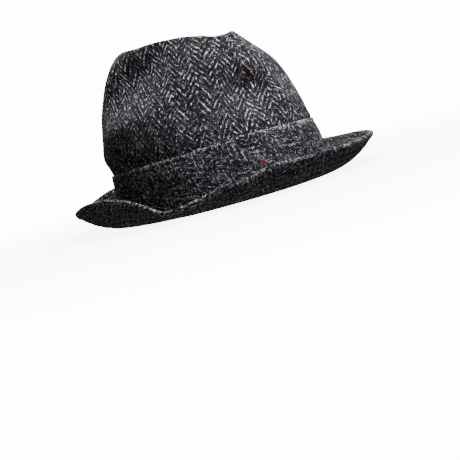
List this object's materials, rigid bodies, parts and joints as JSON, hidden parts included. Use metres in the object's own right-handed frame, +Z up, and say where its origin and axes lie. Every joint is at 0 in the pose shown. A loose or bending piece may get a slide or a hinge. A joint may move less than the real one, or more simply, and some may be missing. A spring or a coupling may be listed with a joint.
{
  "type": "tweed hat",
  "caption": "Soft herringbone tweed hat with a creased, pinched crown, a wide band of the same cloth and a turned-up brim.",
  "frame": {"origin": "middle of the hat's box, on the plane that the brim rests on", "axes": "+Z up through the crown, -Y towards the front of the hat, +X towards the wearer's left"},
  "size_m": [0.2636, 0.3, 0.1505],
  "materials": {
    "crown_tweed": "herringbone wool",
    "band_tweed": "herringbone wool, cut on the bias",
    "brim_tweed": "herringbone wool, stitched"
  },
  "bodies": {
    "root": {"crown": "crown_tweed", "hat_band": "band_tweed", "brim": "brim_tweed"}
  },
  "joints": []
}
